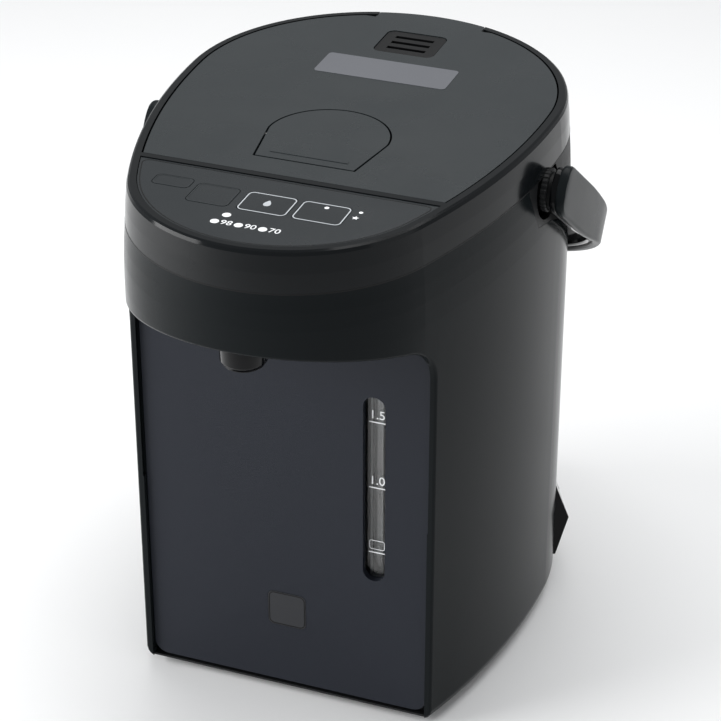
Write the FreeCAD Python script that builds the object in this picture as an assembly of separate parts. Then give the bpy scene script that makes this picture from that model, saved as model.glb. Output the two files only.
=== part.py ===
import FreeCAD, Part
import math
import os

# Electric thermo pot, about two litres, with a flip lid, a carrying handle and a pump spout.
# Millimetres, +Z up, spout towards -Y. The origin is the centre of the footprint box, on the table.
V = FreeCAD.Vector
os.makedirs("parts", exist_ok=True)

# Body outline seen from above: a nose arc in front, two long side arcs and a half circle behind
body_width = 184.0
body_depth = 262.0
nose_radius = 74.0
body_height = 265.0
wall = 2.5
foot_height = 4.0
base_thickness = 3.0
bottom_round = 5.5
head_height = 19.0
seam_inset = 1.4
taper_height = 28.0
band_height = 30.0
rim_inset = 4.3
edge_setback = 54.5
edge_radius = 1.6
opening_radius = 20.0
band_slope = 13.5
band_lift = 0.8
panel_setback = 57.2
panel_lift = 2.0
panel_thickness = 3.2
panel_side_gap = 0.3
shell_edge = 4.0
panel_corner = 7.0
fit = 0.3
seat = 0.1

# Handle and its pivots
pivot_from_rear = 112.0
pivot_drop = 8.5
pivot_boss_radius = 8.2
pocket_radius = 13.5
handle_arm = 65.0
handle_width = 17.0
handle_thickness = 7.2
handle_fold = 36.0
ear_margin = 3.0
boss_stand = 2.0
handle_pin_radius = 3.0
running = 0.05

# Lid
rim_width = 2.9
lid_gap = 0.8
lid_skin = 2.8
deck_thickness = 2.6
lid_line = 70.0
bridge_width = 3.2
hinge_from_rear = 10.5
hinge_drop = 6.8
hinge_half_width = 27.0
hinge_pin_radius = 2.0
lever_front = 84.5
lever_pivot = 113.5
lever_front_half = 23.6
lever_radius = 28.2
lever_gap = 0.9
lever_thickness = 3.4
vent_from_rear = 40.0
vent_width = 30.0
vent_depth = 26.0
label_width = 64.0
label_depth = 22.0
label_gap = 9.4
relief_length = 33.0
relief_clearance = 0.15

# Water side
vessel_clearance = 24.0
vessel_wall = 1.0
vessel_floor = 53.0
flange_width = 6.0
mouth_step = 2.0
jacket_wall = 5.0
plug_clearance = 6.0
plug_depth = 12.0
gauge_x = 42.7
gauge_width = 10.5
gauge_low = 75.0
gauge_high = 172.0
tube_radius = 4.5
tube_bore = 3.5
pump_setback = 84.0
pump_radius = 17.0
pump_low = 31.0
pump_high = 45.0
motor_radius = 13.0
impeller_radius = 11.0
shaft_radius = 1.5
nozzle_setback = 15.5
nozzle_top_radius = 10.4
nozzle_tip_radius = 8.6
nozzle_drop = 12.0
nozzle_shoulder = 2.6
nozzle_bore = 3.2

# Keys on the control panel
key_row = 44.0
key_depth = 17.0
key_travel = 0.6
key_clearance = 0.3
panel_skin = 2.2
lens_radius = 1.9

# Heater under the vessel, and the power board in the front bay
heater_margin = 22.0
heater_bore = 9.0
heater_thickness = 2.5
shield_bore = 34.0
board_side = 14.0
board_width = 48.0
board_foot = 62.0
board_rise = 88.0
board_gap = 6.0
board_skin = 1.6
holder_grip = 4.0
relay_width = 18.0
relay_rise = 20.0
relay_depth = 14.4
choke_depth = 12.4
capacitor_radius = 6.0
capacitor_length = 24.0

# Rear and floor
cover_from_rear = 70.0
cover_low = 25.0
socket_angle = 27.0
socket_width = 30.0
socket_low = 9.0
socket_high = 47.0
socket_reach = 6.0
socket_brow = 16.0
foot_radius = 7.0
foot_from_side = 32.0
foot_front = 70.0
foot_from_rear = 47.0
badge_size = 19.0
badge_height = 48.0

fold = math.radians(handle_fold)
boss_face = body_width / 2 + boss_stand
inner_half = boss_face + fit
outer_half = inner_half + handle_thickness
handle_back = (handle_arm + outer_half) * math.cos(fold) + handle_width / 2 * math.sin(fold)
pivot_setback = body_depth - pivot_from_rear
overall_depth = pivot_setback + handle_back
front_y = -overall_depth / 2
nose_y = front_y + nose_radius
rear_y = front_y + body_depth - body_width / 2
side_step = body_width / 2 - nose_radius
side_length = rear_y - nose_y
side_shift = (side_length ** 2 - side_step ** 2) / (2 * side_step)
side_radius = side_shift + body_width / 2
edge_y = front_y + edge_setback
panel_y = front_y + panel_setback
panel_back = panel_y + panel_thickness
top = body_height
seam_height = top - head_height
band_bottom = seam_height - band_height
taper_start = seam_height - taper_height
pivot_height = seam_height - pivot_drop
vessel_radius = body_width / 2 - vessel_clearance
mouth_radius = vessel_radius - mouth_step
plug_radius = mouth_radius - plug_clearance
deck_top = seam_height + deck_thickness
lid_low = deck_top + 2.0
pivot_y = front_y + pivot_setback
hinge_y = front_y + body_depth - hinge_from_rear
hinge_z = top - hinge_drop
hinge_clear = math.hypot(hinge_from_rear - rim_inset, hinge_drop) + 1.0
lid_front = front_y + lid_line
bridge_front = lid_front - bridge_width
far = 2 * body_depth


def save(name, shape):
    shape.exportStep("parts/" + name + ".step")


def outline(inset, z):
    nose = nose_radius - inset
    side = side_radius - inset
    rear = body_width / 2 - inset
    turn = math.atan2(side_length, side_shift)

    def on_side(angle):
        return side * math.cos(angle) - side_shift, rear_y - side * math.sin(angle)

    join_x, join_y = on_side(turn)
    mid_x, mid_y = on_side(turn / 2)
    slant = rear * math.sqrt(0.5)
    arcs = [
        ((-join_x, join_y), (0, nose_y - nose), (join_x, join_y)),
        ((join_x, join_y), (mid_x, mid_y), (rear, rear_y)),
        ((rear, rear_y), (slant, rear_y + slant), (0, rear_y + rear)),
        ((0, rear_y + rear), (-slant, rear_y + slant), (-rear, rear_y)),
        ((-rear, rear_y), (-mid_x, mid_y), (-join_x, join_y)),
    ]
    edges = [Part.Arc(*[V(x, y, z) for x, y in arc]).toShape() for arc in arcs]
    return Part.Wire(edges)


def layer(inset, low, high):
    return Part.Face(outline(inset, low)).extrude(V(0, 0, high - low))


def tapered(levels):
    return Part.makeLoft([outline(inset, z) for z, inset in levels], True, True)


def block(x0, x1, y0, y1, z0, z1):
    return Part.makeBox(x1 - x0, y1 - y0, z1 - z0, V(x0, y0, z0))


def rod(radius, start, end):
    run = V(*end) - V(*start)
    return Part.makeCylinder(radius, run.Length, V(*start), run)


def ring(outer, inner, y, low, high):
    return rod(outer, (0, y, low), (0, y, high)).cut(rod(inner, (0, y, low), (0, y, high)))


def rounded(width, depth, radius, low, high):
    w = width / 2
    d = depth / 2
    bar = block(-w + radius, w - radius, -d, d, low, high)
    cross = block(-w, w, -d + radius, d - radius, low, high)
    corners = [rod(radius, (x, y, low), (x, y, high))
               for x in (radius - w, w - radius) for y in (radius - d, d - radius)]
    return bar.fuse([cross] + corners).removeSplitter()


def standing(width, radius, low, high, y0, y1, x=0.0):
    plate = rounded(width, high - low, radius, 0, y1 - y0)
    plate.rotate(V(0, 0, 0), V(1, 0, 0), 90)
    plate.translate(V(x, y1, (low + high) / 2))
    return plate


def side_prism(points, half=far):
    corners = [V(-half, y, z) for y, z in points]
    face = Part.Face(Part.makePolygon(corners + corners[:1]))
    return face.extrude(V(2 * half, 0, 0))


def joined(first, *others):
    return first.fuse(list(others)).removeSplitter()


def pipe(points, bend, outer, inner):
    # A tube along straight runs joined by tangent arcs of one radius
    spots = [V(*point) for point in points]
    edges = []
    start = spots[0]
    for before, corner, after in zip(spots, spots[1:], spots[2:]):
        into = (corner - before).normalize()
        out = (after - corner).normalize()
        reach = bend * math.tan(into.getAngle(out) / 2)
        first = corner - into * reach
        last = corner + out * reach
        centre_way = (out - into).normalize()
        depth = bend / math.cos(into.getAngle(out) / 2) - bend
        edges.append(Part.makeLine(start, first))
        edges.append(Part.Arc(first, corner + centre_way * depth, last).toShape())
        start = last
    edges.append(Part.makeLine(start, spots[-1]))
    path = Part.Wire(edges)

    def swept(radius):
        circle = Part.Wire(Part.makeCircle(radius, spots[0], spots[1] - spots[0]))
        return path.makePipeShell([circle], True, False)

    return swept(outer).cut(swept(inner))


# Levels of the outer surface, as height and inset
lift = math.radians(65)
low_levels = []
for share in (1.0, 0.7, 0.4, 0.0):
    bend_angle = lift * share
    rise = bottom_round * (math.sin(lift) - math.sin(bend_angle))
    low_levels.append((foot_height + 1.0 + rise, bottom_round * (1 - math.cos(bend_angle))))
high_levels = [(taper_start, 0.0)]
for share in (0.4, 0.7, 1.0):
    high_levels.append((taper_start + (seam_height - taper_start) * share, seam_inset * share ** 2))
shell_levels = low_levels + high_levels
shell_low = foot_height + 1.0


def body_skin(inset):
    levels = [(z, extra + inset) for z, extra in shell_levels]
    return tapered(levels)


# The rear cover wraps the back and runs forward under the seam to the handle pivots
cover_y = front_y + body_depth - cover_from_rear
cover_nose = pivot_y - 21.0
cover_outline = [
    (cover_y, cover_low),
    (cover_y, pivot_height - 32.0),
    (pivot_y + 4.0, pivot_height - pocket_radius - 3.5),
    (pivot_y - 12.0, pivot_height - pocket_radius),
    (cover_nose, seam_height - 3.0),
    (cover_nose, seam_height + 1.0),
    (front_y + body_depth + 9.0, seam_height + 1.0),
    (front_y + body_depth + 9.0, cover_low),
]
cover_space = side_prism(cover_outline)


def pocket(radius):
    right = rod(radius, (body_width / 2 - 8.0, pivot_y, pivot_height), (far, pivot_y, pivot_height))
    left = rod(radius, (8.0 - body_width / 2, pivot_y, pivot_height), (-far, pivot_y, pivot_height))
    return right.fuse(left)


# Plug socket, modelled pointing along +Y from the rear centre, then turned about it
def turned(shape):
    placed = shape.copy()
    placed.rotate(V(0, rear_y, 0), V(0, 0, 1), socket_angle - 90)
    return placed


back_radius = body_width / 2


def socket_block(grow):
    y0 = rear_y + back_radius - wall - 8.0
    y1 = rear_y + back_radius
    y2 = y1 + socket_reach
    profile = [
        (y0, socket_low - grow),
        (y1, socket_low - grow),
        (y2, socket_high - socket_brow),
        (y1, socket_high + grow),
        (y0, socket_high + grow),
    ]
    return side_prism(profile, socket_width / 2 + grow)


# Outer shell with the head band, open in front for the panel
def front_opening():
    # Seen from the side: the band's lower edge slopes down, then turns down the panel's edge in an arc
    slope = math.radians(band_slope)
    turn = (math.pi / 2 - slope) / 2
    tangent = opening_radius * math.tan(turn)
    corner = V(-far, edge_y, band_bottom + band_lift - edge_setback * math.tan(slope))
    back_along = V(0, -math.cos(slope), math.sin(slope))
    first = corner + back_along * tangent
    last = corner - V(0, 0, tangent)
    inward = (back_along - V(0, 0, 1)).normalize()
    middle = corner + inward * (opening_radius / math.cos(turn) - opening_radius)
    ahead = corner + back_along * (edge_setback + 20.0)
    edges = [
        Part.makeLine(ahead, first),
        Part.Arc(first, middle, last).toShape(),
        Part.makeLine(last, V(-far, edge_y, -1)),
        Part.makeLine(V(-far, edge_y, -1), V(-far, ahead.y, -1)),
        Part.makeLine(V(-far, ahead.y, -1), ahead),
    ]
    return Part.Face(Part.Wire(edges)).extrude(V(2 * far, 0, 0))


shell = body_skin(0.0)
front_open = front_opening()
under_nose = body_skin(wall).common(block(-far, far, -far, panel_y, band_bottom / 2, band_bottom))
inside_low = body_skin(wall).common(block(-far, far, panel_y + wall, far, 0, seam_height + 1))
inside_high = body_skin(wall).common(block(-far, far, -far, far, band_bottom - 1, seam_height + 1))
panel_half = math.sqrt(side_radius ** 2 - (rear_y - panel_y) ** 2) - side_shift - shell_edge
panel_top = band_bottom - 2.0
panel_low = shell_low + panel_lift
panel_space = standing(2 * panel_half, panel_corner, panel_low - 20.0, panel_top,
                       panel_y - 5, panel_back + 5)
shell = shell.cut(front_open).cut(under_nose).cut(inside_low).cut(inside_high).cut(panel_space)
shell = shell.cut(cover_space).cut(pocket(pocket_radius)).cut(turned(socket_block(fit)))
core = body_skin(4 * seat)
opening_edges = []
for edge in shell.Edges:
    first, last = edge.ParameterRange
    spots = [edge.valueAt(first + (last - first) * share) for share in (0.05, 0.5, 0.95)]
    on_opening = all(front_open.distToShape(Part.Vertex(spot))[0] < 0.02 for spot in spots)
    inside = any(core.isInside(spot, 0.01, True) for spot in spots)
    if on_opening and not inside and spots[1].z > shell_low + 0.1:
        opening_edges.append(edge)
save("outer_shell", shell.makeFillet(edge_radius, opening_edges))

# Front panel with the gauge slot and a shallow seat for the badge plate
panel = standing(2 * (panel_half - panel_side_gap), panel_corner - panel_side_gap, panel_low,
                 panel_top - panel_side_gap, panel_y, panel_back)
slot = standing(gauge_width, gauge_width / 2 - 0.01, gauge_low, gauge_high,
                panel_y - 5, panel_back + 5, gauge_x)
badge_low = badge_height - badge_size / 2
badge_high = badge_height + badge_size / 2
badge_seat = standing(badge_size, 3.0, badge_low, badge_high, panel_y - 5, panel_y + 0.6)
save("front_panel", panel.cut(slot).cut(badge_seat))
badge = standing(badge_size - 0.4, 2.8, badge_low + 0.2, badge_high - 0.2, panel_y - 0.1, panel_y + 0.6)
save("badge_plate", badge)

# Clear gauge window held against the panel's back, a pale carrier behind it, and the glass tube
window_back = panel_back + 1.4
window_low = gauge_low - 4.0
window_high = gauge_high + 4.0
window = standing(gauge_width + 8, 4.0, window_low, window_high, panel_back, window_back, gauge_x)
save("gauge_window", window)
tube_y = window_back + 2.0 + tube_radius
carrier_back = tube_y + tube_radius + 2.0
carrier = block(gauge_x - 9, gauge_x + 9, window_back, carrier_back, window_low, window_high)
tube_space = rod(tube_radius + seat, (gauge_x, tube_y, 0), (gauge_x, tube_y, far))
front_slot = block(gauge_x - 3, gauge_x + 3, window_back - 1, tube_y, window_low + 4, window_high - 4)
save("gauge_carrier", carrier.cut(tube_space).cut(front_slot))
tube_low = pump_high + 17.0
tube_high = band_bottom - 20.0
tube = rod(tube_radius, (gauge_x, tube_y, tube_low), (gauge_x, tube_y, tube_high))
save("gauge_tube", tube.cut(rod(tube_bore, (gauge_x, tube_y, 0), (gauge_x, tube_y, far))))

# Underside of the nose, which holds the spout
nozzle_y = front_y + nozzle_setback
underside_low = band_bottom + band_lift
underside_top = underside_low + wall
valve_low = band_bottom + 6.0
nose_plate = layer(wall + fit, underside_low, underside_top)
nose_plate = nose_plate.common(block(-far, far, -far, panel_y + wall - fit, 0, far))
nozzle_hole = rod(nozzle_top_radius + seat, (0, nozzle_y, 0), (0, nozzle_y, far))
save("nose_underside", nose_plate.cut(nozzle_hole))
nozzle_low = band_bottom - nozzle_drop
nozzle_shape = (nozzle_tip_radius, nozzle_top_radius, nozzle_shoulder)
nozzle_cone = Part.makeCone(*nozzle_shape, V(0, nozzle_y, nozzle_low))
neck_low = nozzle_low + nozzle_shoulder
nozzle_neck = rod(nozzle_top_radius, (0, nozzle_y, neck_low), (0, nozzle_y, underside_top))
nozzle_flange = rod(nozzle_top_radius + 1.6, (0, nozzle_y, underside_top), (0, nozzle_y, valve_low))
nozzle_path = rod(nozzle_bore, (0, nozzle_y, 0), (0, nozzle_y, far))
save("spout_nozzle", joined(nozzle_cone, nozzle_neck, nozzle_flange).cut(nozzle_path))

# Valve that stops spills when the pot tips over, with its loose ball, above the nozzle
valve_high = seam_height - 4.0
valve_radius = 9.0
valve = rod(valve_radius, (0, nozzle_y, valve_low), (0, nozzle_y, valve_high))
chamber = rod(valve_radius - 2, (0, nozzle_y, valve_low + 3), (0, nozzle_y, valve_high - 2))
inlet_z = valve_high - 6.0
stub_end = nozzle_y + valve_radius + 6.0
inlet = rod(tube_radius, (0, nozzle_y + valve_radius - 2, inlet_z), (0, stub_end, inlet_z))
inlet_bore = rod(tube_bore, (0, nozzle_y, inlet_z), (0, stub_end + 1, inlet_z))
save("spill_valve", joined(valve, inlet).cut(chamber).cut(nozzle_path.common(block(
    -far, far, -far, far, 0, valve_low + 4))).cut(inlet_bore))
ball_radius = 4.4
ball_drop = math.sqrt(ball_radius ** 2 - nozzle_bore ** 2)
save("spill_ball", Part.makeSphere(ball_radius, V(0, nozzle_y, valve_low + 3 + ball_drop)))

# Rubber hoses
hose_bore = tube_radius
hose_outer = tube_radius + 1.6
upper_points = [
    (gauge_x, tube_y, tube_high - 6),
    (gauge_x, tube_y, inlet_z),
    (gauge_x, stub_end + 14, inlet_z),
    (0, stub_end + 14, inlet_z),
    (0, stub_end - 4, inlet_z),
]
save("upper_hose", pipe(upper_points, 8.0, hose_outer, hose_bore + seat / 2))

# Pump: housing with its chamber, impeller, motor can and motor rotor on one upright axis
pump_y = front_y + pump_setback
outlet_y = tube_y
outlet_z = (pump_low + pump_high) / 2
housing = rod(pump_radius, (0, pump_y, pump_low), (0, pump_y, pump_high))
outlet_end = pump_radius + 8.0
outlet = rod(tube_radius, (0, outlet_y, outlet_z), (outlet_end, outlet_y, outlet_z))
outlet_bore = rod(tube_bore, (0, outlet_y, outlet_z), (outlet_end + 1, outlet_y, outlet_z))
suction_y = rear_y - vessel_radius + 16.0
suction_end = pump_y + pump_radius + 6.0
suction = rod(tube_radius, (0, pump_y + impeller_radius + 3, outlet_z), (0, suction_end, outlet_z))
suction_bore = rod(tube_bore, (0, pump_y, outlet_z), (0, suction_end + 1, outlet_z))
volute = rod(impeller_radius + 2, (0, pump_y, pump_low + 3), (0, pump_y, pump_high - 3))
pump_body = joined(housing, outlet, suction).cut(volute).cut(outlet_bore).cut(suction_bore)
shaft_hole = rod(shaft_radius + running, (0, pump_y, 0), (0, pump_y, pump_low + 4))
save("pump_housing", pump_body.cut(shaft_hole))
impeller = rod(impeller_radius, (0, pump_y, pump_low + 4), (0, pump_y, pump_low + 5.5))
for step in range(6):
    vane = block(shaft_radius + 1, impeller_radius - 1, -0.6, 0.6, pump_low + 5.4, pump_high - 5)
    vane.rotate(V(0, 0, 0), V(0, 0, 1), 60 * step)
    vane.translate(V(0, pump_y, 0))
    impeller = impeller.fuse(vane)
hub = rod(shaft_radius + 2, (0, pump_y, pump_low + 4), (0, pump_y, pump_high - 5))
socket_for_shaft = rod(shaft_radius, (0, pump_y, 0), (0, pump_y, pump_high - 7))
save("pump_impeller", joined(impeller, hub).cut(socket_for_shaft))
motor_low = foot_height + base_thickness + 3.0
motor = rod(motor_radius, (0, pump_y, motor_low), (0, pump_y, pump_low))
motor_space = rod(motor_radius - 1.2, (0, pump_y, motor_low + 1.2), (0, pump_y, pump_low - 1.2))
save("pump_motor", motor.cut(motor_space).cut(shaft_hole.common(block(
    -far, far, -far, far, motor_low + 1, far))))
rotor = rod(motor_radius - 3, (0, pump_y, motor_low + 3), (0, pump_y, pump_low - 3))
shaft = rod(shaft_radius, (0, pump_y, motor_low + 1.2 + seat), (0, pump_y, pump_high - 7))
save("motor_rotor", joined(rotor, shaft))
save("pump_bracket", joined(
    block(-19, 19, pump_y - 6, pump_y + 6, foot_height + base_thickness, motor_low),
    block(-19, -motor_radius - fit, pump_y - 6, pump_y + 6, motor_low, pump_low - 4),
    block(motor_radius + fit, 19, pump_y - 6, pump_y + 6, motor_low, pump_low - 4)))
lower_points = [
    (outlet_end - 6, outlet_y, outlet_z),
    (gauge_x, outlet_y, outlet_z),
    (gauge_x, outlet_y, tube_low + 3.5),
]
save("delivery_hose", pipe(lower_points, 9.0, hose_outer, hose_bore + seat / 2))
nipple_low = vessel_floor - 9.0
suction_points = [
    (0, suction_y, nipple_low + 6),
    (0, suction_y, outlet_z),
    (0, suction_end - 5, outlet_z),
]
save("suction_hose", pipe(suction_points, 4.0 + hose_outer - tube_radius, hose_outer, hose_bore + seat / 2))

# Vessel with its flange and suction nipple, heat jacket, heat shield and heater
vessel_top = seam_height - 2.0
vessel_outer = vessel_radius + vessel_wall
vessel = rod(vessel_outer, (0, rear_y, vessel_floor), (0, rear_y, vessel_top))
flange_radius = vessel_radius + flange_width
flange = rod(flange_radius, (0, rear_y, vessel_top - 1), (0, rear_y, vessel_top))
nipple = rod(tube_radius, (0, suction_y, nipple_low), (0, suction_y, vessel_floor + 0.5))
vessel = joined(vessel, flange, nipple)
vessel = vessel.cut(rod(vessel_radius, (0, rear_y, vessel_floor + vessel_wall), (0, rear_y, far)))
save("inner_vessel", vessel.cut(rod(tube_bore, (0, suction_y, 0), (0, suction_y, vessel_floor + 2))))
jacket_low = vessel_floor - 3.0
jacket_bore = vessel_outer + 2.0
jacket = ring(jacket_bore + jacket_wall, jacket_bore, rear_y, jacket_low, vessel_top - 1)
save("heat_jacket", jacket)
save("mouth_seal", ring(flange_radius - 1, mouth_radius + 1, rear_y, vessel_top, seam_height))
shield = ring(jacket_bore + jacket_wall + 1, shield_bore, rear_y, jacket_low - 2, jacket_low)
hose_gap = rod(hose_outer + 1.5, (0, suction_y, 0), (0, suction_y, far))
save("heat_shield", shield.cut(hose_gap))
heater_low = vessel_floor - heater_thickness
heater = ring(vessel_radius - heater_margin, heater_bore, rear_y, heater_low, vessel_floor)
save("heater_plate", heater.cut(hose_gap))
save("thermistor", rod(heater_bore - 0.2, (0, rear_y, vessel_floor - 7), (0, rear_y, vessel_floor)))
stat_x = (vessel_radius - heater_margin) / 2
save("thermostat", rod(7.0, (stat_x, rear_y, heater_low - 9.5), (stat_x, rear_y, heater_low)))

# Base plate with posts that carry the heat shield, feet and screws
base_low = foot_height
base = layer(low_levels[0][1] + 0.2, base_low, shell_low)
base_step = layer(low_levels[0][1] + wall + fit, shell_low, base_low + base_thickness)
base = joined(base, base_step.common(block(-far, far, panel_back + fit, far, 0, far)))
base = base.cut(block(-far, far, -far, panel_y + 0.3, 0, far))
post_ring = vessel_outer + jacket_wall - 3.0
post_spots = []
for angle in (45, 135, 225, 315):
    post_x = post_ring * math.cos(math.radians(angle))
    post_y = rear_y + post_ring * math.sin(math.radians(angle))
    post_spots.append((post_x, post_y))
    post = rod(4.0, (post_x, post_y, base_low + 1), (post_x, post_y, jacket_low - 2))
    base = base.fuse(post)
save("base_plate", base.removeSplitter())
foot_x = body_width / 2 - foot_from_side
foot_rear = body_depth - foot_from_rear
foot_spots = [(x, front_y + y) for x in (-foot_x, foot_x) for y in (foot_front, foot_rear)]
feet = [Part.makeCone(foot_radius - 1.5, foot_radius, foot_height, V(x, y, 0)) for x, y in foot_spots]
save("feet", Part.makeCompound(feet))
screws = []
for x, y in post_spots:
    screws.append(rod(3.2, (x, y, base_low - 1.6), (x, y, base_low)))
save("base_screws", Part.makeCompound(screws))

# Power board, upright on the left of the front bay, with its parts
board_y = panel_back + board_gap
board_face = board_y + board_skin
board_left = -board_side - board_width
board_end = board_foot + board_rise
relay_left = board_left + holder_grip + 2
relay_low = board_foot + relay_rise / 2
choke_low = board_end - 2 * relay_rise
capacitor_x = -board_side - 2 * capacitor_radius
capacitor_y = board_face + capacitor_radius - 0.6
capacitor_low = (board_foot + board_end - capacitor_length) / 2
board = block(board_left, -board_side, board_y, board_face, board_foot, board_end)
relay = block(relay_left, relay_left + relay_width, board_face, board_face + relay_depth,
              relay_low, relay_low + relay_rise)
choke = block(relay_left, relay_left + relay_width, board_face, board_face + choke_depth,
              choke_low, choke_low + relay_rise)
capacitor = rod(capacitor_radius, (capacitor_x, capacitor_y, capacitor_low),
                (capacitor_x, capacitor_y, capacitor_low + capacitor_length))
save("power_board", joined(board, relay, choke, capacitor))
holders = []
for low, high in ((board_foot - holder_grip, board_foot), (board_end, board_end + holder_grip)):
    rail = block(board_left - 2, 2 - board_side, panel_back, board_face + 1.4, low, high)
    holders.append(rail)
save("board_holder", Part.makeCompound(holders))

# Rear cover, socket and its pins
cover = body_skin(seat).cut(body_skin(wall + 0.2))
inner_cover = side_prism([(y + fit, z) for y, z in cover_outline])
cover = cover.common(cover_space.common(inner_cover)).common(block(
    -far, far, -far, far, cover_low + fit, seam_height - seat))
save("rear_cover", cover.cut(pocket(pocket_radius)).cut(turned(socket_block(fit))))
mouth_y = rear_y + back_radius - 3.0
plug_mouth = block(-11, 11, mouth_y, far, socket_low + 8, socket_high - 13)
pins = [rod(1.4, (x, mouth_y - 4, socket_low + 17), (x, mouth_y + 4, socket_low + 17)) for x in (-5, 5)]
socket = socket_block(0).cut(plug_mouth).cut(pins[0]).cut(pins[1])
save("plug_socket", turned(socket))
save("socket_pins", turned(Part.makeCompound(pins)))

# Handle brackets, pins and the handle in its folded place
bracket_out = body_width / 2 - 6.4
brackets = []
handle_pins = []
for side in (-1, 1):
    dish = rod(pocket_radius + 2, (side * (bracket_out - 5), pivot_y, pivot_height),
               (side * bracket_out, pivot_y, pivot_height))
    dip = rod(pocket_radius, (side * (bracket_out - 2.5), pivot_y, pivot_height),
              (side * far, pivot_y, pivot_height))
    boss = rod(pivot_boss_radius, (side * (bracket_out - 3), pivot_y, pivot_height),
               (side * boss_face, pivot_y, pivot_height))
    hole = rod(handle_pin_radius, (side * (bracket_out - 20), pivot_y, pivot_height),
               (side * far, pivot_y, pivot_height))
    dish = dish.cut(dip).common(block(-far, far, -far, far, 0, seam_height - seat))
    brackets.append(joined(dish, boss).cut(hole))
    ear_out = boss_face + fit + handle_thickness
    stem = rod(handle_pin_radius, (side * (bracket_out - 5), pivot_y, pivot_height),
               (side * (ear_out - 1.5), pivot_y, pivot_height))
    handle_pins.append(stem)
save("handle_bracket_left", brackets[0])
save("handle_bracket_right", brackets[1])
save("handle_pins", Part.makeCompound(handle_pins))
half_band = handle_width / 2


def bail(radius, low, high):
    straight = block(-radius, radius, 0, handle_arm, low, high)
    return straight.fuse(rod(radius, (0, handle_arm, low), (0, handle_arm, high)).common(
        block(-far, far, handle_arm, far, low, high)))


handle = bail(outer_half, -half_band, half_band).cut(bail(inner_half, -far, far))
handle = handle.cut(block(-inner_half, inner_half, -1, handle_arm, -far, far))
for side in (-1, 1):
    ear = rod(half_band + ear_margin, (side * inner_half, 0, 0), (side * outer_half, 0, 0))
    bore_end = outer_half - 1.2
    bore = rod(handle_pin_radius + running, (side * (inner_half - 5), 0, 0), (side * bore_end, 0, 0))
    handle = handle.fuse(ear).cut(bore)
handle = handle.removeSplitter()
handle.rotate(V(0, 0, 0), V(1, 0, 0), -handle_fold)
handle.translate(V(0, pivot_y, pivot_height))
save("handle", handle)

# Top frame: rim, deck with the mouth, bridge between lid and control panel, hinge ears
recess = rim_inset + rim_width
frame_levels = [
    (seam_height, seam_inset),
    (seam_height + 9, seam_inset + 0.6),
    (top - 2.2, seam_inset + 1.4),
    (top - 0.7, rim_inset - 0.9),
    (top, rim_inset),
]
frame = tapered(frame_levels)
bay = layer(recess, deck_top, top + 1)
lid_bay = bay.common(block(-far, far, lid_front, far, 0, far))
key_bay = bay.common(block(-far, far, -far, bridge_front, 0, far))
mouth = rod(mouth_radius, (0, rear_y, 0), (0, rear_y, far))
hinge_space = rod(hinge_clear, (-hinge_half_width, hinge_y, hinge_z), (hinge_half_width, hinge_y, hinge_z))
hinge_space = hinge_space.fuse(block(
    -hinge_half_width, hinge_half_width, hinge_y, far, hinge_z - 2, top + 1))
keeper = block(-8, 8, bridge_front + 1, lid_front, lid_low + 1, lid_low + 6)
frame = frame.cut(lid_bay).cut(key_bay).cut(mouth).cut(hinge_space).cut(keeper)
ear_reach = hinge_half_width + 5.0
for side in (-1, 1):
    x0 = min(side * hinge_half_width, side * ear_reach)
    ear = block(x0, x0 + 5, hinge_y - 3.4, hinge_y + 4, deck_top - 0.5, top - 1.0)
    frame = frame.fuse(ear.common(tapered(frame_levels)))
hinge_pin_hole = rod(hinge_pin_radius, (-ear_reach + 1, hinge_y, hinge_z), (ear_reach - 1, hinge_y, hinge_z))
for x in (-50, 50):
    for y in (front_y + 40, front_y + 58):
        frame = frame.fuse(block(x - 2, x + 2, y - 2, y + 2, deck_top - 0.5, deck_top + 2))
save("top_frame", frame.removeSplitter().cut(hinge_pin_hole))
save("hinge_pin", hinge_pin_hole)

# Control panel, its four keys, lenses, board and switches
panel_outline = layer(recess + 0.3, top - 0.4 - panel_skin, top - 0.4)
control = panel_outline.common(block(-far, far, -far, bridge_front - 0.3, 0, far))
keys = {
    "key_dispense": (0.0, key_row, 22.0, key_depth),
    "key_unlock": (24.3, key_row, 21.5, key_depth),
    "key_keep_warm": (-24.5, key_row, 19.0, key_depth),
    "key_reboil": (-45.5, key_row + 6, 17.0, 9.0),
}
lens_spots = [(-11.9, 29.0), (-14.4, 22.2), (-3.8, 22.2), (6.9, 22.2), (38.6, 51.0), (38.6, 45.5)]
board_low = deck_top + 2.0
board_top = board_low + 1.6
key_base = top - 0.4 - panel_skin
switch_parts = []
for name, (x, setback, width, depth) in keys.items():
    y = front_y + setback
    gap = key_clearance
    hole = rounded(width + 2 * gap, depth + 2 * gap, 2.5 + gap, 0, far)
    hole.translate(V(x, y, 0))
    control = control.cut(hole)
    cap = rounded(width, depth, 2.5, key_base - 0.1, top - 0.4)
    lip = rounded(width + 2, depth + 2, 3.0, key_base - 1.1, key_base - 0.1)
    stem = rod(2.0, (0, 0, board_top + 3.0 + key_travel + 0.1), (0, 0, key_base - 1))
    key = joined(cap, lip, stem)
    key.translate(V(x, y, 0))
    save(name, key)
    switch_parts.append(block(x - 3, x + 3, y - 3, y + 3, board_top, board_top + 3.0))
for x, setback in lens_spots:
    spot = (x, front_y + setback)
    control = control.cut(rod(lens_radius + 0.05, (*spot, 0), (*spot, far)))
save("control_panel", control)
lenses = [rod(lens_radius, (x, front_y + y, top - 3.0), (x, front_y + y, top - 0.4)) for x, y in lens_spots]
save("indicator_lenses", Part.makeCompound(lenses))
board_edge = layer(recess + 3, board_low, board_top)
save("control_board", board_edge.common(block(-far, far, front_y + 14, bridge_front - 1, 0, far)))
save("key_switches", Part.makeCompound(switch_parts))

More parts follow.
